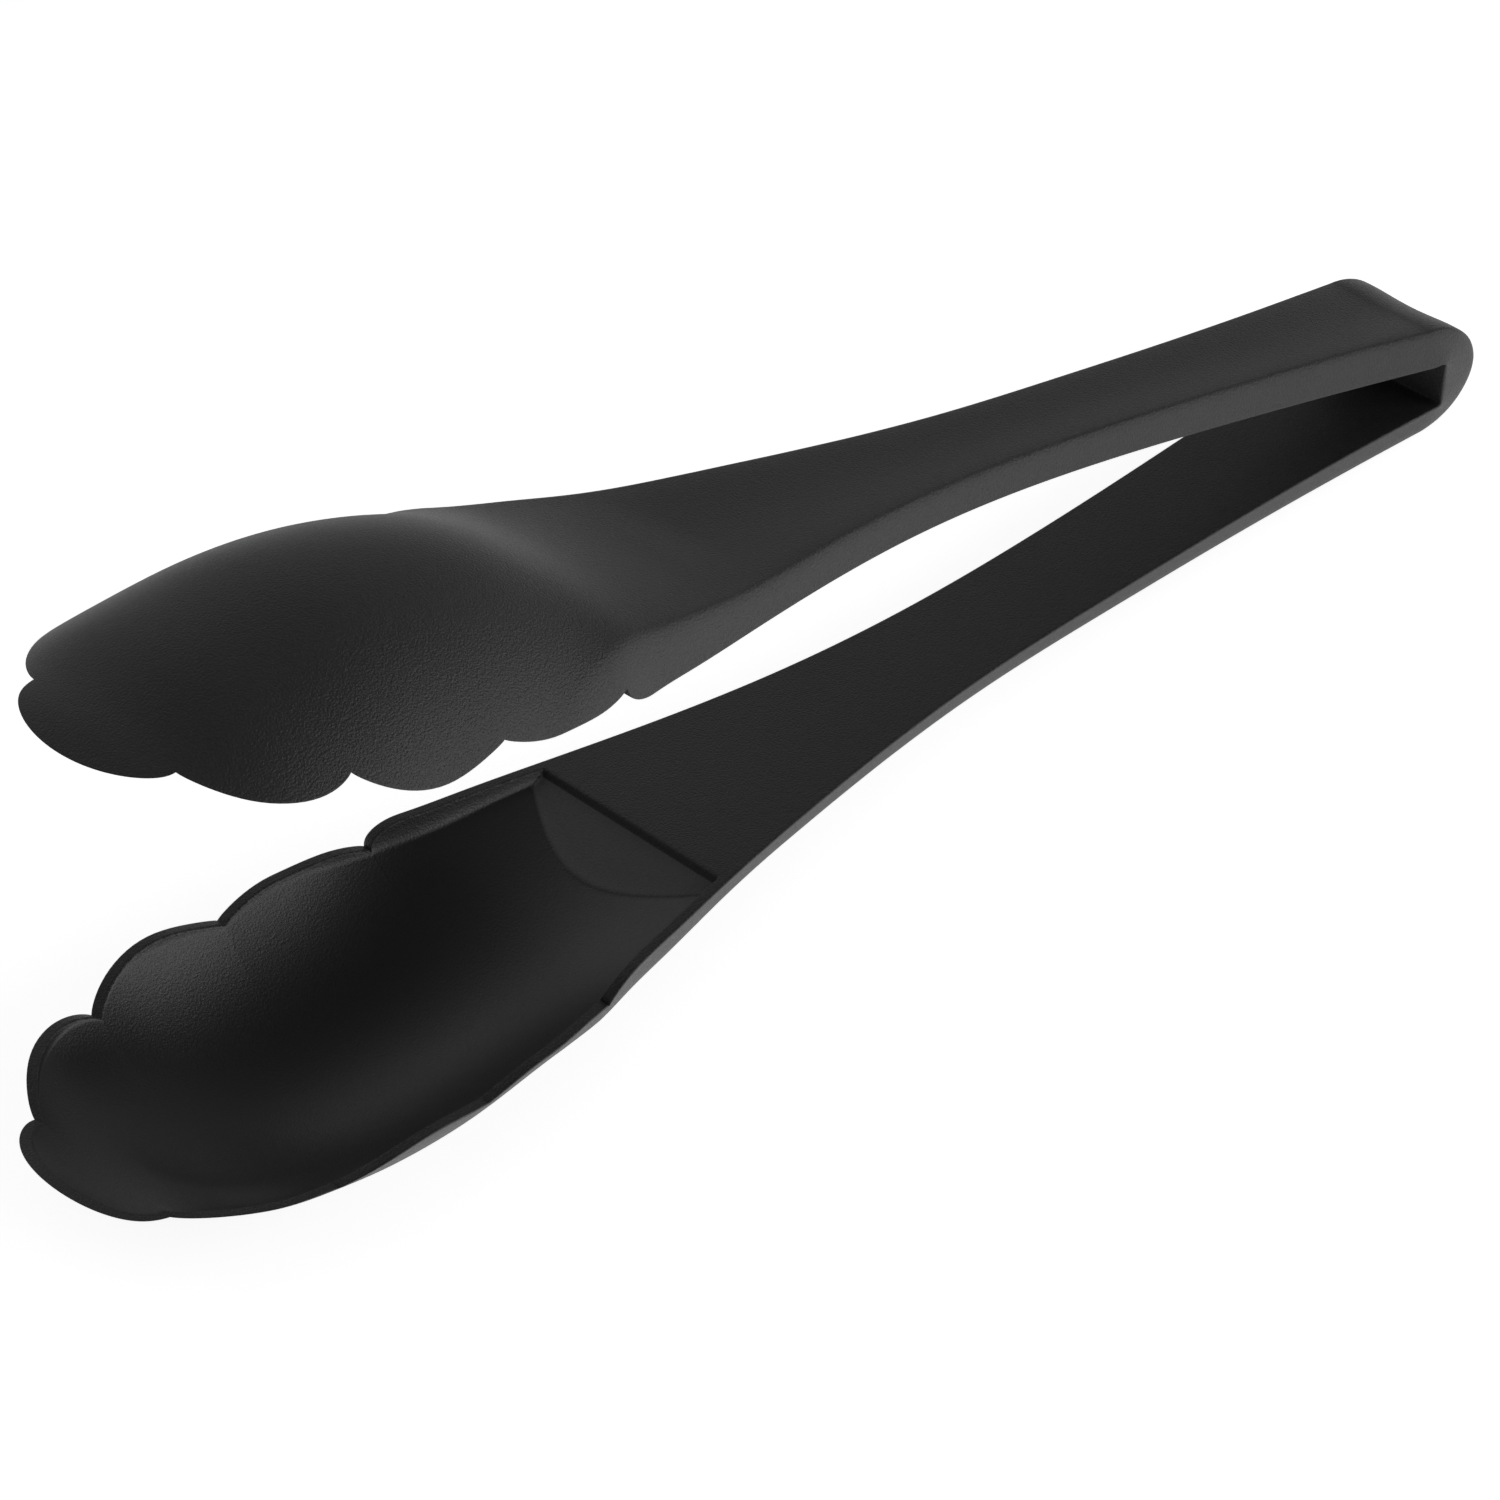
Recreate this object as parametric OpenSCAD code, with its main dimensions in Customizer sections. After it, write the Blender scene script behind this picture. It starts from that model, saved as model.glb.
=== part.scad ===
// One-piece flexible tongs: two scalloped spoon jaws on tapering arms that
// meet in a springy bow. All sizes are in millimetres. The two arms mirror
// each other in the plane between them, and each arm is mirrored left to right.
// Stations are counted from the tip of the jaws towards the bow.

/* [Tongs] */
// Overall length from the tip of the jaws to the end of the bow
total_l = 230; // [226:0.5:236]
// Length of each spoon, from its tip to the top of the ramp that ends its bowl
jaw_l = 88; // [86:0.5:90]
// Thickness of the end wall that bends when the tongs are squeezed
bow_wall = 8.5; // [7:0.25:9.5]
// Length of the bow, from the ends of the arms to the outside of the end wall
bow_l = 10.5; // [10:0.25:12]

/* [Section] */
// Wall thickness of the spoon over the middle of the bowl
shell_t = 2.0; // [1.5:0.1:2.5]
// Width of the rim of the spoon
rim_w = 1.5; // [1.2:0.1:1.8]
// Lean of the arms' side walls, in degrees from the inner face
side_lean = 70; // [64:1:76]
// Sharpness of the arms' shoulders, as the weight of a conic curve
shoulder = 6; // [3:0.5:9]
// Depth of the shallow channel along the back of each arm
channel_d = 0.55; // [0.2:0.05:0.8]
// Length of the sloping ramp for each millimetre of the bowl's depth
ramp_run = 1.75; // [1.4:0.05:2]

/* [Rim lobes] */
// How far the middle lobe stands in front of the first pair of notches
tip_lobe = 7; // [6:0.25:8]
// Length over which the last half lobe runs out into the arm
run_out = 5; // [4:0.5:7]

/* [Mesh] */
// Steps along each lobe of the rim
lobe_steps = 7; // [5:1:10]
// Steps from one side of the section to its middle
half_steps = 10; // [8:1:14]
// Rings along each arm
arm_rings = 15; // [10:1:24]
// Rings round the bow, an odd number less one
bow_steps = 16; // [12:2:24]

/* [Hidden] */
plastic = [0.13, 0.13, 0.135];

arm_end = total_l - bow_l;      // station where the arms run into the bow
slot_end = total_l - bow_wall;  // station where the gap between the arms ends

// Notches between the lobes: [station, half width, height above the middle plane]
NOTCHES = [[tip_lobe, 12.1, 29.5], [23.3, 21.8, 27.3], [44, 23.8, 24.7], [64.8, 21.4, 21.7]];
// Lobes between the notches: [bulge outwards, drop towards the other jaw, lean to the next notch]
LOBES = [[3.8, 1.2, 0.6], [2.4, 2.3, -0.85], [1.25, 1.65, -0.1]];
tip_h = 29.1;  // height of the rim at the very tip

// Edge of the arm's flat inner face: [station, half width, height above the middle plane]
EDGE = [[64.8, 21.6, 19.1], [78, 18.9, 17.8], [jaw_l, 16.6, 16.9], [106, 12.9, 15.6], [123, 10.2, 14.2],
        [142, 8.5, 12.3], [164, 8.2, 9.9], [185, 8.6, 7.3], [206, 9.5, 4.7], [arm_end, 10.4, 3.1]];
// Height of the back, from the tip of the jaw to the bow: [station, height]
BACK = [[0, 29.1], [7, 33], [15, 36.3], [30, 38.4], [42, 37.8], [55, 34.8], [68, 29.6], [80, 24],
        [jaw_l, 21.6], [106, 19.9], [123, 18.4], [142, 16.4], [164, 14.1], [185, 11.8], [206, 9.5],
        [arm_end, 7.9]];

box_from = 52;   // station where the spoon's round section starts to turn into the arm's boxy one
box_to = 90;     // station where it has turned
dish_from = 87;  // station where the channel along the back starts
dish_to = 96;    // station where it has its full depth

// ---- curves ----
function mix(a, b, t) = a + (b - a) * t;
function ease(a, b, x) = let (t = max(0, min(1, (x - a) / (b - a)))) t * t * (3 - 2 * t);
function span(T, s, i = 0) = (i >= len(T) - 2 || s < T[i + 1][0]) ? i : span(T, s, i + 1);
function rise(T, i, c) = let (a = max(0, i - 1), b = min(len(T) - 1, i + 1))
    (T[b][c] - T[a][c]) / (T[b][0] - T[a][0]);
// Smooth curve through column c of a table of stations
function along(T, s, c) = let (i = span(T, s), h = T[i + 1][0] - T[i][0], u = (s - T[i][0]) / h)
    (1 + 2 * u) * pow(1 - u, 2) * T[i][c] + u * u * (3 - 2 * u) * T[i + 1][c]
    + h * u * pow(1 - u, 2) * rise(T, i, c) - h * u * u * (1 - u) * rise(T, i + 1, c);
// Part of the way along a curve that has more points near both of its ends
function bunch(k, n) = 0.5 - 0.5 * cos(180 * k / n);

// ---- rim of the spoon, from the tip to the arm ----
// Each point is [station, half width, height, inward along the tongs, inward across them]
function tip_point(a) = [tip_lobe * (1 - cos(a)), NOTCHES[0][1] * sin(a),
    mix(tip_h, NOTCHES[0][2], pow(sin(a), 2)), cos(a), -sin(a)];
function lobe_point(k, t) = let (
    a = NOTCHES[k],
    b = NOTCHES[k + 1],
    chord = norm([b[0] - a[0], b[1] - a[1]]),
    out = [-(b[1] - a[1]) / chord, (b[0] - a[0]) / chord],
    hump = pow(4 * t * (1 - t), 0.85),
    bulge = (LOBES[k][0] + LOBES[k][2] * (2 * t - 1)) * hump)
    [mix(a[0], b[0], t) + out[0] * bulge, mix(a[1], b[1], t) + out[1] * bulge,
     mix(a[2], b[2], t) - LOBES[k][1] * hump, -out[0], -out[1]];
// The last half lobe drops from the last notch to the arm's inner face
function last_lift(s) = let (t = min(1, (s - NOTCHES[3][0]) / run_out))
    (NOTCHES[3][2] - EDGE[0][2]) * (1 - sqrt(1 - pow(1 - t, 2)));
function edge_point(s) = [s, along(EDGE, s, 1), along(EDGE, s, 2) + last_lift(s), 0, -1];

LOBE_RIM = [for (k = [0:2], j = [0:lobe_steps - 1]) lobe_point(k, bunch(j, lobe_steps))];
RUN_RIM = [for (j = [0:4]) edge_point(NOTCHES[3][0] + run_out * pow(j / 4, 2))];
BACK_RIM = [for (s = [72.5, 75, 77.5, 79.5, 81, 82.5, 84, 85.5, 87, jaw_l]) edge_point(s)];
JAW_RIM = concat([for (j = [1:lobe_steps]) tip_point(90 * j / (lobe_steps + 1))],
    LOBE_RIM, RUN_RIM, BACK_RIM);
ARM_RIM = [for (j = [0:arm_rings - 1]) edge_point(mix(jaw_l, arm_end, j / (arm_rings - 1)))];

// ---- cross-sections: half curves of [distance from the middle, height] from edge to middle ----
// Conic from an edge point up a leaning wall and over to the middle
function conic(w, h, lean, weight, t) = let (
    corner = [w - h / tan(lean), h],
    a = pow(1 - t, 2),
    b = 2 * t * (1 - t) * weight,
    sum = a + b + t * t)
    [(a * w + b * corner[0]) / sum, (b * h + t * t * h) / sum];
// Lean and weight of the section: a round arc in the spoon, a boxy curve in the arm
function lean_at(s, w, h) = mix(2 * atan(h / w), side_lean, ease(box_from, box_to, s));
function weight_at(s, w, h) = mix(cos(atan(h / w)), shoulder, pow(ease(box_from, box_to, s), 2));
function dish(y, w, s) = channel_d * ease(dish_from, dish_to, s) * pow(max(0, 1 - pow(y / (0.8 * w), 2)), 2);
function outer_half(s, w, h) = [for (k = [0:half_steps])
    let (p = conic(w, h, lean_at(s, w, h), weight_at(s, w, h), bunch(k, half_steps)))
    [p[0], p[1] - dish(p[0], w, s)]];
// Bowl under the same section, thinner-walled towards the tip and cut short by the ramp at its back
function bowl_half(s, w, h) = let (hi = h - min(shell_t, 0.1 + 0.35 * h))
    [for (k = [0:half_steps])
        let (p = conic(w, hi, lean_at(s, w, hi), weight_at(s, w, hi), bunch(k, half_steps)))
        [p[0], max(0, min(p[1], (jaw_l - s) / ramp_run))]];
// A closed loop from a half curve: right edge, over the middle, left edge
function both(half) = concat(half, [for (k = [len(half) - 2:-1:0]) [-half[k][0], half[k][1]]]);
function back_half(half) = [for (k = [len(half) - 1:-1:0]) half[k]];

// ---- rings in space, for the upper arm: x along the tongs, y across, z up ----
function lift(s, z0, loop) = [for (p = loop) [s, p[0], z0 + p[1]]];
function jaw_ring(r) = let (
    s = r[0] + rim_w * r[3],
    w = r[1] + rim_w * r[4])
    concat(lift(r[0], r[2], both(outer_half(r[0], r[1], along(BACK, r[0], 1) - r[2]))),
           lift(s, r[2], back_half(both(bowl_half(s, w, along(BACK, s, 1) - r[2])))));
function arm_ring(r) = lift(r[0], r[2], both(outer_half(r[0], r[1], along(BACK, r[0], 1) - r[2])));

// Bow: the arm's section carried round the end of the slot, from the upper arm to the lower
function power(v, e) = sign(v) * pow(abs(v), e);
// The slot ends in a flat wall with small rounded corners
function bow_inner(a) = [min(slot_end, arm_end + 1.2 * (slot_end - arm_end) * power(cos(a), 0.4)),
    EDGE[9][2] * power(sin(a), 0.4)];
function bow_outer(a) = [arm_end + bow_l * power(cos(a), 1.07), BACK[15][1] * power(sin(a), 1.07)];
function bow_ring(a) = let (
    i = bow_inner(a),
    o = bow_outer(a),
    up = (o - i) / norm(o - i),
    w = EDGE[9][1])
    [for (p = both(outer_half(arm_end, w, norm(o - i)))) [i[0] + up[0] * p[1], p[0], i[1] + up[1] * p[1]]];

JAW_TIP = [[0, 0, tip_h], [rim_w, 0, tip_h]];
JAW_RINGS = [for (r = JAW_RIM) jaw_ring(r)];
ARM_RINGS = [for (r = ARM_RIM) arm_ring(r)];
BOW_RINGS = [for (j = [0:bow_steps]) bow_ring(mix(90, -90, j / bow_steps))];

// ---- how the tongs lie: on the lower spoon's belly and the lower edges of the bow ----
BELLY = [for (s = [20:0.5:50]) [s, along(BACK, s, 1)]];
HEEL = concat([for (ring = ARM_RINGS, p = ring) if (p[0] > 190) [p[0], p[2]]],
    [for (ring = BOW_RINGS, p = ring) if (p[2] > 0) [p[0], p[2]]]);
// Slope of the line under both: each heel point with its steepest belly point, then the lowest
rest_slope = min([for (q = HEEL) max([for (p = BELLY) (p[1] - q[1]) / (q[0] - p[0])])]);
rest_tilt = atan(rest_slope);
ALL_POINTS = [for (rings = [JAW_RINGS, ARM_RINGS, BOW_RINGS], ring = rings, p = ring) p];
function laid(p) = [p[0] * cos(rest_tilt) + p[2] * sin(rest_tilt), p[2] * cos(rest_tilt) - p[0] * sin(rest_tilt)];
LAID = concat([for (p = ALL_POINTS) laid(p)], [for (p = ALL_POINTS) laid([p[0], p[1], -p[2]])],
    [laid([0, 0, tip_h]), laid([0, 0, -tip_h])]);
low_x = min([for (p = LAID) p[0]]);
high_x = max([for (p = LAID) p[0]]);
floor_z = min([for (p = LAID) p[1]]);

// Puts the tongs in their resting place, the origin under the middle of their box
module lay() translate([-(low_x + high_x) / 2, 0, -floor_z]) rotate([0, rest_tilt, 0]) children();

// ---- solids ----
// Skin over a list of closed rings with a flat cap on each end
function skin_faces(n, m) = concat(
    [for (i = [0:n - 2], j = [0:m - 1]) each let (
        a = i * m + j,
        b = i * m + (j + 1) % m,
        c = a + m,
        d = b + m) [[a, d, b], [a, c, d]]],
    [[for (j = [0:m - 1]) j], [for (j = [m - 1:-1:0]) (n - 1) * m + j]]);
module skin(rings) polyhedron([for (r = rings, p = r) p], skin_faces(len(rings), len(rings[0])), 4);

module jaw() {
    across = 2 * half_steps + 1;
    m = 2 * across;
    last = (len(JAW_RINGS) - 1) * m;
    nose = len(JAW_RINGS) * m;
    wall = [for (f = skin_faces(len(JAW_RINGS), m)) if (len(f) == 3) f];
    // The shell closes at the tip with a fan from each end of the rim there
    front = concat([for (j = [0:across - 2]) [nose, j, j + 1]],
        [for (j = [across:m - 2]) [nose + 1, j, j + 1]],
        [[nose, across - 1, across], [nose, across, nose + 1]],
        [[nose, nose + 1, m - 1], [nose, m - 1, 0]]);
    // The back end is a strip between the outside and the top of the ramp, mirrored at the middle
    back = [for (j = [0:across - 2]) each let (
        a = last + j,
        b = last + m - 1 - j) j < half_steps
        ? [[a, b, a + 1], [b, b - 1, a + 1]]
        : [[a, b, b - 1], [a, b - 1, a + 1]]];
    polyhedron(concat([for (r = JAW_RINGS, p = r) p], JAW_TIP), concat(wall, front, back), 4);
}

module upper_jaw() color(plastic) lay() jaw();
module upper_arm() color(plastic) lay() skin(ARM_RINGS);
module spring_bow() color(plastic) lay() skin(BOW_RINGS);
module lower_arm() color(plastic) lay() mirror([0, 0, 1]) skin(ARM_RINGS);
module lower_jaw() color(plastic) lay() mirror([0, 0, 1]) jaw();

upper_jaw();
upper_arm();
spring_bow();
lower_arm();
lower_jaw();
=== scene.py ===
"""Looks of the one-piece flexible tongs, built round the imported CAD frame.

The whole moulding is one smooth grid of closed rings, from the tip of the
upper jaw round the bow to the tip of the lower jaw. It is cut into one closed
piece for each CAD node, and the pieces share their rings and normals at the
cuts, so that no cut shows. Sizes are in millimetres until the meshes are made.
Stations are counted from the tip of the jaws towards the bow.
"""

import math

import bpy
import numpy as np
from mathutils import Matrix, Vector, geometry


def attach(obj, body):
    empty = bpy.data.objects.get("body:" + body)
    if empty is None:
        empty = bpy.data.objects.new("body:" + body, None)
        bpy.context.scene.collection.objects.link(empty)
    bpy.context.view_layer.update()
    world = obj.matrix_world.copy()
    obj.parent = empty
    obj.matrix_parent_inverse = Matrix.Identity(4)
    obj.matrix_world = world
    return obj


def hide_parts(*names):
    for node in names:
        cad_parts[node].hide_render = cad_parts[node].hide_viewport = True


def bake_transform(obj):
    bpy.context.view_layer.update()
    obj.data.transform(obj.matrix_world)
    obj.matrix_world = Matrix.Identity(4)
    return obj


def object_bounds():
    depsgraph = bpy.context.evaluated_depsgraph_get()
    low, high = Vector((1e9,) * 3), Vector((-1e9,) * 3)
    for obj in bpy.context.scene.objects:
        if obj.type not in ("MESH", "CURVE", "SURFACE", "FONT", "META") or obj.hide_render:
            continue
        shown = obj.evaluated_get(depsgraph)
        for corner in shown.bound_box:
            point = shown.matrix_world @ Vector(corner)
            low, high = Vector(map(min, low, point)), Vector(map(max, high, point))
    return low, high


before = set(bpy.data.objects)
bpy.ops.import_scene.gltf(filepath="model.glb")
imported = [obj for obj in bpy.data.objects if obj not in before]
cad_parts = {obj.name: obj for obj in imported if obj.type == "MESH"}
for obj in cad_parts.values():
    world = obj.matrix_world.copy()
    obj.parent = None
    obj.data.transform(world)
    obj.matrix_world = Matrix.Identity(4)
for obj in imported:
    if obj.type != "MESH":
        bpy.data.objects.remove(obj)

CAD_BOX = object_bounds()
MM = 0.001

# ---- driving sizes ----
TOTAL_L = 230.0
JAW_L = 88.0
BOW_WALL = 8.5
BOW_L = 10.5
SHELL_T = 2.0
TIP_T = 0.55
RIM_W = 1.5
TIP_RIM_EXTRA = 0.4
SIDE_SLOPE = math.tan(math.radians(70))
LIP_SLOPE = math.tan(math.radians(75))
CHANNEL_D = 0.55
CHANNEL_SHARE = 0.8     # half width of the channel, as a share of the back's
RAMP_RUN = 2.1
CHORD_STEP = 0.75
CHORD_EASE = 0.45       # length over which the step at the top of the ramp rises
TIP_LOBE = 7.0
RUN_OUT = 5.0
ARM_END = TOTAL_L - BOW_L
SLOT_END = TOTAL_L - BOW_WALL
# Resting place of the tongs: numbers printed by the calculation made for the CAD, not worked out here
REST_TILT = math.radians(9.57002)
LOW_X, HIGH_X, FLOOR_Z = -4.83796, 226.529, -44.2782

# Where the tables come from: NOTCHES and EDGE are the CAD's. These two, CROWN and most of ROUNDNESS
# are the rounded output of least-squares fits to the outline in the photo, made with scratch
# scripts. They weren't chosen by hand, apart from some rows moved later to match the render.
# Notches between the lobes of the rim, in plan: station, half width
NOTCHES = [(TIP_LOBE, 12.1), (23.3, 21.8), (44, 23.8), (64.8, 21.4)]
# Lobes between them: bulge outwards, lean to the next notch
LOBES = [(3.8, 0.6), (2.4, -0.85), (1.25, -0.1)]
# Edge of the arm's flat inner face: station, half width, height above the middle plane
EDGE = [(64.8, 21.6, 19.1), (78, 18.9, 17.8), (JAW_L, 16.6, 16.9), (106, 12.9, 15.6),
        (123, 10.2, 14.2), (142, 8.5, 12.3), (164, 8.2, 9.9), (185, 8.6, 7.3), (206, 9.5, 4.7),
        (ARM_END, 10.4, 3.1)]
# Height of the back along the middle: station, height
CROWN = [(0, 29.1), (4, 30.67), (8, 31.7), (15, 34.4), (23, 36.5), (32, 38.0), (42, 37.8), (52, 35.95),
         (60, 33.1), (66, 30.05), (72, 26.85), (78, 24.5), (JAW_L, 21.85), (106, 19.9), (123, 18.4),
         (142, 16.4), (164, 14.1), (185, 11.8), (206, 9.5), (ARM_END, 7.9)]
# How strongly the back and the bowl are curved across: station, 1/radius outside, inside
ROUNDNESS = [(0, 0.0134, 0.0134), (6, 0.0243, 0.0243), (14, 0.0294, 0.0294), (24, 0.0322, 0.0324),
             (34, 0.0347, 0.0350), (44, 0.0355, 0.0360), (54, 0.0360, 0.0365), (62, 0.0308, 0.0335),
             (68, 0.0203, 0.0285), (74, 0.0120, 0.0215), (82, 0.005, 0.0165), (96, 0.003, 0.014),
             (110, 0.005, 0.014), (142, 0.012, 0.014), (164, 0.013, 0.014), (ARM_END, 0.009, 0.014)]
# Foot of the side walls, further out than the rim in the spoon: station, half width, height
WALL = [(40, 31.0, 21.8), (54, 25.6, 20.2), (60, 23.6, 19.55), (64.8, 22.3, 19.1),
        (70, 20.75, 18.6)] + EDGE[1:]
# Softness of the shoulder between wall and back: station, blend
SOFTNESS = [(54, 4.0), (66, 3.4), (78, 2.4), (JAW_L, 2.0), (106, 1.8), (ARM_END, 1.8)]

CHANNEL_WIDTH_FROM = 80        # ahead of this station the channel keeps its width
DISH_FROM, DISH_TO = 87, 96    # stations where the channel along the back deepens
LOBE_FULLNESS = 0.85           # exponent of a lobe's bulge: lower is fuller
NOTCH_TURN = 0.3               # share of a lobe over which the rim's direction turns at each notch
TIP_TURN, TIP_THIN = 55, 20    # degrees round the tip where the rim begins to turn, and to narrow
THICK_AT = 25                  # station of the thickest part of the shell
THICK_REACH = (25, 23)         # how far it reaches, along and across
THINS_OVER = (0.45, 0.9)       # shares of that reach over which it thins
THIN_TIP = (14, 30)            # stations between which the thinning ends
BOWL_ROUND = 0.8               # rounding between bowl and lip, doubled over the stations below
BOWL_SOFTER = (60, 76)
LIP_FIT = 0.5                  # softness with which the bowl is brought down to the lip
FROST_AND_PAINTED_LIGHT_EDGE = (0.1, 0.5)        # height over the bowl's edge across which the ramp's frosted finish and painted light fade in
FROST_AND_PAINTED_LIGHT_END = 0.4                # length at the top of the ramp that is neither frosted nor painted lighter
SLOT_SQUARENESS = 0.4          # exponent of the slot's end: lower is squarer
SLOT_REACH = 1.2               # how far its curve overshoots before the flat end
BOW_FULLNESS = 1.05            # exponent of the bow's outline: 1 is an ellipse
EDGE_ROUND = 0.35              # rounding of the outer edges
LIP_ROUND = 0.22               # rounding of the rim's inner edge
RAMP_ROUND = 0.3               # rounding where the ramp meets the bowl
CHORD_ROUND = 0.22             # rounding along the top of the ramp

# ---- how fine the grid is ----
TIP_ROWS = 26
LOBE_ROWS = 30
RUN_ROWS = 14
BOW_ROWS = 44
ARC_STEPS = 38
FILLET_STEPS = 4
RIM_STEPS = 2
WALL_ROUNDS = 6                # rounds of nearing the edge of the side wall
# Rows behind the last notch, closest round the top of the ramp: from, to, step
FINE_ROWS = [(NOTCHES[3][0] + RUN_OUT, 78, 0.7), (78, 87.2, 0.25), (87.3, 88.5, 0.08)]
# Rows along the rest of the arm: from, to, number
EVEN_ROWS = [(88.6, 100, 22), (101.5, ARM_END, 66)]

# ---- finish, with painted light on the ramps, inferred from the tones of the photo ----
BLACK, BLACK_LIGHTER = (0.0085, 0.0085, 0.009, 1), (0.0125, 0.0125, 0.013, 1)
# Colour of the ramps: their frosted texture is real, and the extra lightness is painted light for the
# light falling on them
FROSTED_PAINTED_LIGHTER = (0.08, 0.08, 0.082, 1)
GRAIN_SCALE, CLOUD_SCALE, FLOW_SCALE = 3600, 90, 18
GRAIN_DEPTH = 0.00018
AWAY = (0.66, 0.75, 0)             # direction in which the floor's glow dims
DIMS_FROM, DIMS_TO = 0.14, 0.4     # metres from the middle
GLOW_NEAR, GLOW_FAR = 0.8, 0.1


def ease(a, b, x):
    """Smooth step from 0 at a to 1 at b"""
    t = np.clip((np.asarray(x, float) - a) / (b - a), 0, 1)
    return t * t * (3 - 2 * t)


def bunch(n):
    """n + 1 values from 0 to 1, closer together at both ends"""
    return 0.5 - 0.5 * np.cos(np.pi * np.arange(n + 1) / n)


def spline(table, column):
    """Smooth function through one column of a table of stations"""
    x = np.array([row[0] for row in table], float)
    y = np.array([row[column] for row in table], float)
    h = np.diff(x)
    slope = np.diff(y) / h
    n = len(x)
    a = np.eye(n)
    b = np.zeros(n)
    for i in range(1, n - 1):
        a[i, i - 1:i + 2] = h[i - 1], 2 * (h[i - 1] + h[i]), h[i]
        b[i] = 6 * (slope[i] - slope[i - 1])
    m = np.linalg.solve(a, b)

    def value(s):
        i = np.clip(np.searchsorted(x, s, side="right") - 1, 0, n - 2)
        t = np.asarray(s, float) - x[i]
        first = slope[i] - h[i] * (2 * m[i] + m[i + 1]) / 6
        return y[i] + t * (first + t * (m[i] / 2 + t * (m[i + 1] - m[i]) / (6 * h[i])))

    return value


crown_at = spline(CROWN, 1)
round_out = spline(ROUNDNESS, 1)
round_in = spline(ROUNDNESS, 2)
wall_w = spline(WALL, 1)
wall_z = spline(WALL, 2)
edge_z = spline(EDGE, 2)
soft_at = spline(SOFTNESS, 1)
ARC = 1 - (np.arange(ARC_STEPS + 1) / ARC_STEPS) ** 1.8  # shares of a half section, from edge to middle


# ---- surfaces of the upper arm, as heights over the plane between the arms ----
def softmin(a, b, k):
    """The smaller of a and b, with the corner between them rounded"""
    h = np.maximum(k - np.abs(a - b), 0) / k
    return np.minimum(a, b) - h * h * k / 4


def sag(y, roundness):
    """How far a round section has dropped at a distance y from its middle"""
    return y * y * roundness / (1 + np.sqrt(np.maximum(1 - (roundness * y) ** 2, 0.01)))


def dished(s, y):
    """Depth of the channel along the back"""
    w = wall_w(np.maximum(s, CHANNEL_WIDTH_FROM))
    return CHANNEL_D * ease(DISH_FROM, DISH_TO, s) * np.maximum(0, 1 - (y / (CHANNEL_SHARE * w)) ** 2) ** 2


def outside(s, y):
    """Height of the outer surface: a domed back between two leaning walls"""
    back = crown_at(s) - sag(y, round_out(s))
    ahead = np.maximum(s, WALL[0][0])
    wall = wall_z(ahead) + (wall_w(ahead) - y) * SIDE_SLOPE + np.maximum(0, WALL[0][0] - s)
    return softmin(back, wall, soft_at(np.clip(s, SOFTNESS[0][0], ARM_END))) - dished(s, y)


# ---- the rim, from the tip to the end of the arm ----
def chord_angle(k):
    """Direction, in plan, from the outside of lobe k straight in"""
    a, b = NOTCHES[k], NOTCHES[k + 1]
    return math.degrees(math.atan2(-(b[0] - a[0]), b[1] - a[1]))


def rim_rows():
    """Rows of station, half width, height, inward direction in degrees and rim width"""
    turn = [-90.0] + [chord_angle(k) for k in range(3)] + [-90.0]
    at_notch = [(turn[k] + turn[k + 1]) / 2 for k in range(4)]
    a = 90 * np.arange(TIP_ROWS) / TIP_ROWS
    sin, cos = np.sin(np.radians(a)), np.cos(np.radians(a))
    inward = -a + (at_notch[0] + 90) * ease(TIP_TURN, 90, a)
    width = RIM_W + TIP_RIM_EXTRA * (1 - ease(TIP_THIN, 90, a))
    rows = [np.c_[TIP_LOBE * (1 - cos), NOTCHES[0][1] * sin, inward, width]]
    for k in range(3):
        p, q = np.array(NOTCHES[k]), np.array(NOTCHES[k + 1])
        t = bunch(LOBE_ROWS)[:-1]
        chord = math.hypot(*(q - p))
        out = np.array([-(q - p)[1], (q - p)[0]]) / chord
        bulge = (LOBES[k][0] + LOBES[k][1] * (2 * t - 1)) * (4 * t * (1 - t)) ** LOBE_FULLNESS
        line = p + np.outer(t, q - p)
        inward = (turn[k + 1] + (at_notch[k] - turn[k + 1]) * (1 - ease(0, NOTCH_TURN, t))
                  + (at_notch[k + 1] - turn[k + 1]) * ease(1 - NOTCH_TURN, 1, t))
        rows.append(np.c_[line + np.outer(bulge, out), inward, np.full_like(t, RIM_W)])
    lobed = np.concatenate(rows)
    lobed = np.c_[lobed[:, :2], outside(lobed[:, 0], lobed[:, 1]), lobed[:, 2:]]
    last = NOTCHES[3][0]
    s = np.concatenate([last + RUN_OUT * (np.arange(RUN_ROWS) / RUN_ROWS) ** 2]
                       + [np.arange(*row) for row in FINE_ROWS]
                       + [np.linspace(*row) for row in EVEN_ROWS])
    s[np.argmin(np.abs(s - JAW_L))] = JAW_L
    t = np.minimum(1, (s - last) / RUN_OUT)
    drop = outside(last, NOTCHES[3][1]) - edge_z(last)
    z = edge_z(s) + drop * (1 - np.sqrt(1 - (1 - t) ** 2))
    y = wall_w(s) - (z - wall_z(s)) / SIDE_SLOPE
    for _ in range(WALL_ROUNDS):
        y = y + (outside(s, y) - z) / SIDE_SLOPE
    inward = -90 + (at_notch[3] + 90) * (1 - ease(last, last + RUN_OUT, s))
    return np.concatenate([lobed, np.c_[s, y, z, inward, np.full_like(s, RIM_W)]])


# ---- sections across an arm ----
def thickness(s, y):
    """Thickness of the shell, thinner round the front of the rim"""
    near_rim = np.hypot((s - THICK_AT) / THICK_REACH[0], y / THICK_REACH[1])
    return SHELL_T - (SHELL_T - TIP_T) * ease(*THINS_OVER, near_rim) * (1 - ease(*THIN_TIP, s))


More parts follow.
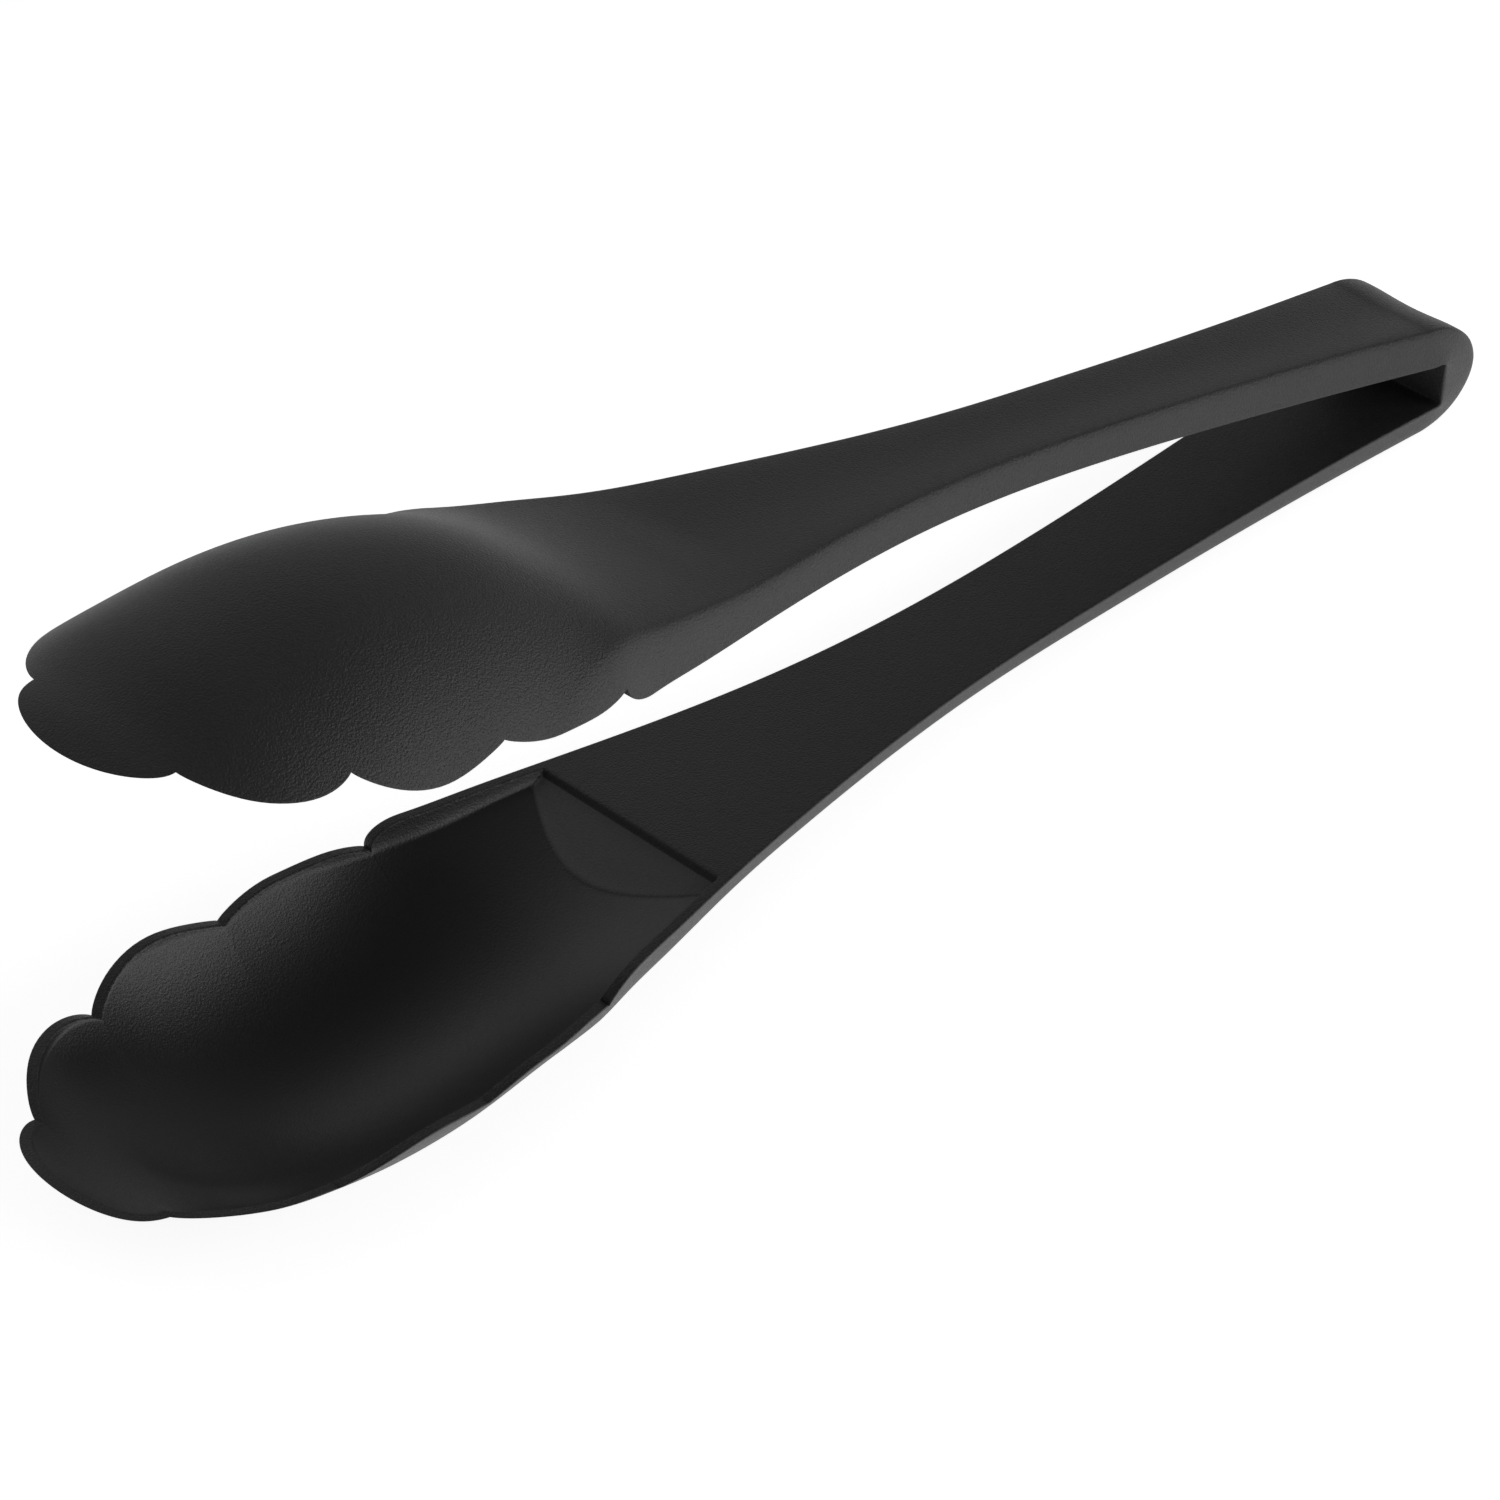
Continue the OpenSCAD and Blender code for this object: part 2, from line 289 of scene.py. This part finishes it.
def inside(s, lip, y):
    """Height of the bowl and of the flat inner face, at station s"""
    w, z0 = np.interp(s, lip[:, 0], lip[:, 1]), np.interp(s, lip[:, 0], lip[:, 2])
    edge = crown_at(s) - thickness(s, w) - sag(w, round_in(s))
    bowl = crown_at(s) - thickness(s, y) - sag(y, round_in(s))
    bowl = bowl - softmin(edge - z0, 0, LIP_FIT) * (y / w) ** 3
    bowl = softmin(bowl, z0 + (w - y) * LIP_SLOPE, BOWL_ROUND + BOWL_ROUND * ease(*BOWL_SOFTER, s))
    ramp = z0 + (JAW_L - s) / RAMP_RUN + CHORD_STEP * (1 - ease(JAW_L - CHORD_EASE, JAW_L, s))
    if s < JAW_L:
        bowl = softmin(bowl, ramp + 0 * y, min(RAMP_ROUND, 0.2 + 0.3 * (JAW_L - s)))
    else:
        bowl = ramp + 0 * y
    return z0 - softmin(z0 - bowl, 0 * y, CHORD_ROUND)


def polish_and_painted_light_at(s, lip, z):
    """1 in the smooth bowl, -1 on the frosted ramp behind it, which also carries painted light, and 0 on
    the arm
    """
    ramp = np.interp(s, lip[:, 0], lip[:, 2]) + (JAW_L - s) / RAMP_RUN + CHORD_STEP
    return (2 * ease(*FROST_AND_PAINTED_LIGHT_EDGE, ramp - z) - 1) * (s < JAW_L - FROST_AND_PAINTED_LIGHT_END)


def bend(a, b, c):
    """Points on the rounding of an edge b, from a on one side to c on the other"""
    t = np.linspace(0, 1, FILLET_STEPS + 1)[:, None]
    return (1 - t) ** 2 * a + 2 * t * (1 - t) * b + t * t * c


def edge_loop(outer, inner, right):
    """A closed ring from the right halves of its outer and inner arcs and its right edge"""
    half = np.concatenate([outer[::-1], right[1:-1], inner])
    other = half[::-1].copy()
    other[:, 1] *= -1
    return np.concatenate([half, other[1:-1]])


def reach_along(surface, edge, n, radius):
    """How far in plan a rounding of this radius reaches up a surface from an edge"""
    step = 0.1
    rise = surface(edge[0] + step * n[0], abs(edge[1] + step * n[1])) - edge[2]
    return radius * step / math.hypot(step, float(rise))


def arm_rings():
    """Rings of the upper arm from its tip to the bow, and the row that ends the jaw"""
    rim = rim_rows()
    turn = np.radians(rim[:, 3])
    inward = np.c_[np.cos(turn), np.sin(turn), 0 * turn]
    lip = rim[:, :3] + rim[:, 4:5] * inward
    rings = []
    for e, n, f in zip(rim[:, :3], inward, lip):
        a = e + reach_along(outside, e, n, EDGE_ROUND) * n
        y = max(a[1], 0) * ARC
        outer = np.c_[np.full_like(y, a[0]), y, outside(a[0], y), 0 * y]
        g = f + reach_along(lambda s, y: inside(s, lip, y), f, n, LIP_ROUND) * n
        y = max(g[1], 0) * ARC
        z = inside(g[0], lip, y)
        inner = np.c_[np.full_like(y, g[0]), y, z, polish_and_painted_light_at(g[0], lip, z)]
        c, d = e + EDGE_ROUND * n, f - LIP_ROUND * n
        flat = np.linspace(c, d, RIM_STEPS + 2)[1:-1]
        edge = np.concatenate([bend(outer[0, :3], e, c), flat, bend(d, f, inner[0, :3])])
        edge[:, 1] = np.maximum(edge[:, 1], 0)
        rings.append(edge_loop(outer, inner, np.c_[edge, 0 * edge[:, 0]]))
    cut = int(np.argmin(np.abs(rim[:, 0] - JAW_L)))
    return np.array(rings), cut


def power(v, e):
    """A power that keeps the sign of its base"""
    return np.sign(v) * np.abs(v) ** e


def bow_rings(last):
    """Rings carried round the end of the slot, between the two arms' last rings"""
    w = EDGE[-1][1]
    y = last[:ARC_STEPS + 1, 1]
    flat_y = last[ARC_STEPS + FILLET_STEPS:len(last) // 2 + 1, 1]
    rings = []
    for a in np.radians(90 - 180 * np.arange(1, BOW_ROWS) / BOW_ROWS):
        cos, sin = math.cos(a), math.sin(a)
        i = np.array([min(SLOT_END,
                          ARM_END + SLOT_REACH * (SLOT_END - ARM_END) * power(cos, SLOT_SQUARENESS)),
                      EDGE[-1][2] * power(sin, SLOT_SQUARENESS)])
        o = np.array([ARM_END + BOW_L * power(cos, BOW_FULLNESS),
                      CROWN[-1][1] * power(sin, BOW_FULLNESS)])
        h = float(np.linalg.norm(o - i))
        up = (o - i) / h
        steep = SIDE_SLOPE * h / (CROWN[-1][1] - EDGE[-1][2])
        z = softmin(h - sag(y, ROUNDNESS[-1][1]), (w - y) * steep, SOFTNESS[-1][1])
        z = z - dished(ARM_END, y)
        rounding = bend(np.array([y[-1], z[-1]]), np.array([w, 0.0]), np.array([w - EDGE_ROUND, 0.0]))
        half = np.concatenate([np.c_[y, z], rounding[1:], np.c_[flat_y, 0 * flat_y][1:]])
        half = np.c_[i[0] + up[0] * half[:, 1], half[:, 0], i[1] + up[1] * half[:, 1], 0 * half[:, 0]]
        other = half[::-1].copy()
        other[:, 1] *= -1
        rings.append(np.concatenate([half, other[1:-1]]))
    return np.array(rings)


def whole_grid():
    """All rings, and the rows where one piece ends and the next starts"""
    upper, jaw_cut = arm_rings()
    bow = bow_rings(upper[-1])
    lower = upper[::-1].copy()
    lower[:, :, 2] *= -1
    rings = np.concatenate([upper, bow, lower])
    n, last = len(upper), len(rings) - 1
    return rings, [0, jaw_cut, n - 1, last - (n - 1), last - jaw_cut, last]


def laid(p):
    """Puts points in their resting place in the CAD frame, in metres"""
    c, s = math.cos(REST_TILT), math.sin(REST_TILT)
    x = p[..., 0] * c + p[..., 2] * s - (LOW_X + HIGH_X) / 2
    z = p[..., 2] * c - p[..., 0] * s - FLOOR_Z
    return np.stack([x, p[..., 1], z], -1) * MM


# ---- meshes ----
def grid_faces(first, last, across):
    """Quads between rings first and last, as indices into the whole grid"""
    r, c = np.meshgrid(np.arange(first, last), np.arange(across), indexing="ij")
    here, there = r * across, (r + 1) * across
    d = (c + 1) % across
    return np.stack([here + c, there + c, there + d, here + d], -1).reshape(-1, 4)


def tidy_face(face):
    """A face without its repeated corners, or None if less than a triangle is left"""
    kept = [v for i, v in enumerate(face) if v != face[i - 1]]
    return kept if len(set(kept)) == len(kept) > 2 else None


def cap(ring, ids, outward):
    """Triangles that close a flat ring, facing along the station axis if outward is 1"""
    flat = [Vector((p[1], p[2])) for p in ring]
    n = len(flat)
    tris = geometry.delaunay_2d_cdt(flat, [(i, (i + 1) % n) for i in range(n)], [], 1, 1e-7)
    faces = []
    for tri in tris[2]:
        corners = [tris[3][v][0] for v in tri]
        p, q, r = (flat[v] for v in corners)
        turn = (q - p).cross(r - p)
        faces.append([int(ids[v]) for v in (corners if turn * outward > 0 else corners[::-1])])
    return faces


def build_pieces(names):
    """One closed mesh for each stretch of the grid, with normals shared at the cuts"""
    rings, cuts = whole_grid()
    rows, across, _ = rings.shape
    points, index = np.unique(np.round(rings.reshape(-1, 4), 5), axis=0, return_inverse=True)
    index = index.reshape(-1)
    place = laid(points)
    quads = index[grid_faces(0, rows - 1, across)]
    normal = np.zeros_like(place)
    area = np.cross(place[quads[:, 2]] - place[quads[:, 0]], place[quads[:, 3]] - place[quads[:, 1]])
    for corner in range(4):
        np.add.at(normal, quads[:, corner], area)
    normal /= np.maximum(np.linalg.norm(normal, axis=1), 1e-20)[:, None]
    pieces = []
    for k, name in enumerate(names):
        first, last = cuts[k], cuts[k + 1]
        skin = [f for f in map(tidy_face, index[grid_faces(first, last, across)].tolist()) if f]
        caps = []
        for row, outward in ((first, -1), (last, 1)):
            if 0 < row < rows - 1:
                # past the bow the rings run back towards the tip
                way = outward if row < rows / 2 else -outward
                caps += cap(rings[row], index[row * across:(row + 1) * across], way)
        used, flat = np.unique([v for f in skin + caps for v in f], return_inverse=True)
        flat = flat.reshape(-1).tolist()
        faces, at = [], 0
        for f in skin + caps:
            faces.append(flat[at:at + len(f)])
            at += len(f)
        mesh = bpy.data.meshes.new(name)
        mesh.from_pydata(place[used].tolist(), [], faces)
        mesh.polygons.foreach_set("use_smooth", [True] * len(faces))
        # Finish of each point; on the ramps it also masks the painted light
        mesh.attributes.new("polish_and_painted_light", "FLOAT", "POINT").data.foreach_set("value", points[used, 3].tolist())
        corner_normals = [normal[v] for f in skin for v in f]
        for poly in list(mesh.polygons)[len(skin):]:
            corner_normals += [np.array(poly.normal)] * poly.loop_total
        mesh.normals_split_custom_set([tuple(v) for v in corner_normals])
        mesh.update()
        piece = bpy.data.objects.new(name, mesh)
        bpy.context.scene.collection.objects.link(piece)
        pieces.append(piece)
    return pieces


# ---- material ----
def plastic_material():
    """Matte black plastic with a fine grain, smoother in the bowls and frosted on the ramps, where a
    lighter colour is painted light
    """
    mat = bpy.data.materials.new("matte_black_plastic")
    mat.use_nodes = True
    nodes, links = mat.node_tree.nodes, mat.node_tree.links
    shader = nodes["Principled BSDF"]
    shader.inputs["Specular IOR Level"].default_value = 0.5
    shader.inputs["IOR"].default_value = 1.49
    coords = nodes.new("ShaderNodeTexCoord")

    def noise(scale, detail, rough=0.5):
        n = nodes.new("ShaderNodeTexNoise")
        n.inputs["Scale"].default_value = scale
        n.inputs["Detail"].default_value = detail
        n.inputs["Roughness"].default_value = rough
        links.new(coords.outputs["Object"], n.inputs["Vector"])
        return n

    def remap(source, low, high, start=0.3, end=0.7):
        m = nodes.new("ShaderNodeMapRange")
        m.inputs["From Min"].default_value = start
        m.inputs["From Max"].default_value = end
        m.inputs["To Min"].default_value = low
        m.inputs["To Max"].default_value = high
        links.new(source, m.inputs["Value"])
        return m.outputs["Result"]

    # Finish of each point; on the ramps it also masks the painted light
    polish_and_painted_light = nodes.new("ShaderNodeAttribute")
    polish_and_painted_light.attribute_name = "polish_and_painted_light"
    grain = noise(GRAIN_SCALE, 2.0, 0.6)
    cloud = noise(CLOUD_SCALE, 3.0)
    flow = noise(FLOW_SCALE, 2.0)
    tone = nodes.new("ShaderNodeMix")
    tone.data_type = "RGBA"
    tone.inputs["A"].default_value = BLACK
    tone.inputs["B"].default_value = BLACK_LIGHTER
    links.new(cloud.outputs["Fac"], tone.inputs["Factor"])
    # Lighter colour of the ramps: painted light over their real frosted texture
    frosted_painted_lighter = nodes.new("ShaderNodeMix")
    frosted_painted_lighter.data_type = "RGBA"
    frosted_painted_lighter.inputs["B"].default_value = FROSTED_PAINTED_LIGHTER
    links.new(remap(polish_and_painted_light.outputs["Fac"], 1, 0, -1, 0), frosted_painted_lighter.inputs["Factor"])
    links.new(tone.outputs["Result"], frosted_painted_lighter.inputs["A"])
    links.new(frosted_painted_lighter.outputs["Result"], shader.inputs["Base Color"])
    uneven = nodes.new("ShaderNodeMath")
    uneven.operation = "ADD"
    links.new(remap(grain.outputs["Fac"], 0.42, 0.52), uneven.inputs[0])
    links.new(remap(flow.outputs["Fac"], -0.02, 0.02), uneven.inputs[1])
    rough = nodes.new("ShaderNodeMath")
    rough.operation = "SUBTRACT"
    links.new(uneven.outputs["Value"], rough.inputs[0])
    links.new(remap(polish_and_painted_light.outputs["Fac"], -0.1, 0.06, -1, 1), rough.inputs[1])
    links.new(rough.outputs["Value"], shader.inputs["Roughness"])
    fine = nodes.new("ShaderNodeBump")
    links.new(remap(polish_and_painted_light.outputs["Fac"], 1.0, 0.3, -0.1, 1), fine.inputs["Strength"])
    fine.inputs["Distance"].default_value = GRAIN_DEPTH
    links.new(grain.outputs["Fac"], fine.inputs["Height"])
    links.new(fine.outputs["Normal"], shader.inputs["Normal"])
    return mat


def floor_material():
    """A white table lit from below, dimmer towards the back of the studio"""
    mat = bpy.data.materials.new("pale_floor")
    mat.use_nodes = True
    nodes, links = mat.node_tree.nodes, mat.node_tree.links
    shader = nodes["Principled BSDF"]
    shader.inputs["Base Color"].default_value = (0.8, 0.8, 0.8, 1)
    shader.inputs["Roughness"].default_value = 0.9
    shader.inputs["Specular IOR Level"].default_value = 0.1
    shader.inputs["Emission Color"].default_value = (1, 1, 1, 1)
    coords = nodes.new("ShaderNodeTexCoord")
    along = nodes.new("ShaderNodeVectorMath")
    along.operation = "DOT_PRODUCT"
    along.inputs[1].default_value = AWAY
    links.new(coords.outputs["Object"], along.inputs[0])
    dim = nodes.new("ShaderNodeMapRange")
    dim.interpolation_type = "SMOOTHSTEP"
    dim.inputs["From Min"].default_value = DIMS_FROM
    dim.inputs["From Max"].default_value = DIMS_TO
    dim.inputs["To Min"].default_value = GLOW_NEAR
    dim.inputs["To Max"].default_value = GLOW_FAR
    links.new(along.outputs["Value"], dim.inputs["Value"])
    links.new(dim.outputs["Result"], shader.inputs["Emission Strength"])
    return mat


# ---- camera, fitted to the photo by a scratch script, and floor and light, tuned by eye ----
HORIZON, OVERHEAD = 0.4, 0.2
CAMERA_AIM = (-7.1, 0.0, 11.8)
CAMERA_AZIMUTH, CAMERA_ELEVATION, CAMERA_ROLL = -41.368, 39.383, -4.579
CAMERA_DISTANCE = 788.3
CAMERA_LENS = 157.02
FLOOR_HALF = 6.0
FLOOR_GAP = 0.0001             # keeps the floor just under the CAD box
# Softboxes: name, azimuth, elevation, distance, size, power
SOFTBOXES = [("back", 165, 34, 1.6, (1.4, 0.8), 1.6), ("front_low", 33, 18, 1.5, (1.4, 0.7), 9.0)]


def place_camera():
    """The camera of the photo, turned to the tongs"""
    az, el, roll = (math.radians(v) for v in (CAMERA_AZIMUTH, CAMERA_ELEVATION, CAMERA_ROLL))
    back = Vector((math.sin(az) * math.cos(el), -math.cos(az) * math.cos(el), math.sin(el)))
    level = Vector((0, 0, 1)).cross(back).normalized()
    up = back.cross(level)
    right = level * math.cos(roll) + up * math.sin(roll)
    up = back.cross(right)
    camera = bpy.data.objects.new("camera", bpy.data.cameras.new("camera"))
    camera.data.lens = CAMERA_LENS
    camera.data.sensor_width = 36
    camera.data.clip_end = 20
    turned = Matrix((right, up, back)).transposed().to_4x4()
    camera.matrix_world = Matrix.Translation((Vector(CAMERA_AIM) + back * CAMERA_DISTANCE) * MM) @ turned
    bpy.context.scene.collection.objects.link(camera)
    bpy.context.scene.camera = camera


def add_floor():
    """A plain square of floor, part of the stage and not of the object"""
    half = FLOOR_HALF
    mesh = bpy.data.meshes.new("floor")
    corners = [(-half, -half, 0), (half, -half, 0), (half, half, 0), (-half, half, 0)]
    mesh.from_pydata(corners, [], [(0, 1, 2, 3)])
    mesh.materials.append(floor_material())
    floor = bpy.data.objects.new("floor", mesh)
    floor.location.z = CAD_BOX[0].z - FLOOR_GAP
    bpy.context.scene.collection.objects.link(floor)


def add_softbox(name, azimuth, elevation, distance, size, power_w, aim=(0, 0, 0.03)):
    """A square of soft light, placed round the tongs and turned to them"""
    az, el = math.radians(azimuth), math.radians(elevation)
    back = Vector((math.sin(az) * math.cos(el), -math.cos(az) * math.cos(el), math.sin(el)))
    data = bpy.data.lights.new(name, "AREA")
    data.shape = "RECTANGLE"
    data.size, data.size_y = size
    data.energy = power_w
    lamp = bpy.data.objects.new(name, data)
    lamp.location = Vector(aim) + back * distance
    lamp.rotation_mode = "QUATERNION"
    lamp.rotation_quaternion = back.to_track_quat("Z", "Y")
    bpy.context.scene.collection.objects.link(lamp)


def add_world():
    """A studio that is lighter round the horizon than overhead"""
    world = bpy.data.worlds.new("studio")
    world.use_nodes = True
    nodes, links = world.node_tree.nodes, world.node_tree.links
    coords = nodes.new("ShaderNodeTexCoord")
    axes = nodes.new("ShaderNodeSeparateXYZ")
    links.new(coords.outputs["Generated"], axes.inputs["Vector"])
    height = nodes.new("ShaderNodeMapRange")
    height.interpolation_type = "SMOOTHSTEP"
    height.inputs["From Min"].default_value = 0.1
    height.inputs["From Max"].default_value = 0.6
    height.inputs["To Min"].default_value = HORIZON
    height.inputs["To Max"].default_value = OVERHEAD
    links.new(axes.outputs["Z"], height.inputs["Value"])
    links.new(height.outputs["Result"], nodes["Background"].inputs["Strength"])
    nodes["Background"].inputs["Color"].default_value = (1, 1, 1, 1)
    bpy.context.scene.world = world


# ---- the scene ----
PIECES = [("upper_jaw_shell", "upper_jaw", "upper"), ("upper_arm_bar", "upper_arm", "upper"),
          ("bow_spring", "spring_bow", None),
          ("lower_arm_bar", "lower_arm", "lower"), ("lower_jaw_shell", "lower_jaw", "lower")]
plastic = plastic_material()
for piece, (_, node, body) in zip(build_pieces([p[0] for p in PIECES]), PIECES):
    piece.data.materials.append(plastic)
    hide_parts(node)
    if body:
        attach(piece, body)
    else:
        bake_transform(piece)

place_camera()
add_floor()
add_world()
for box in SOFTBOXES:
    add_softbox(*box)
bpy.context.scene.view_settings.view_transform = "Standard"
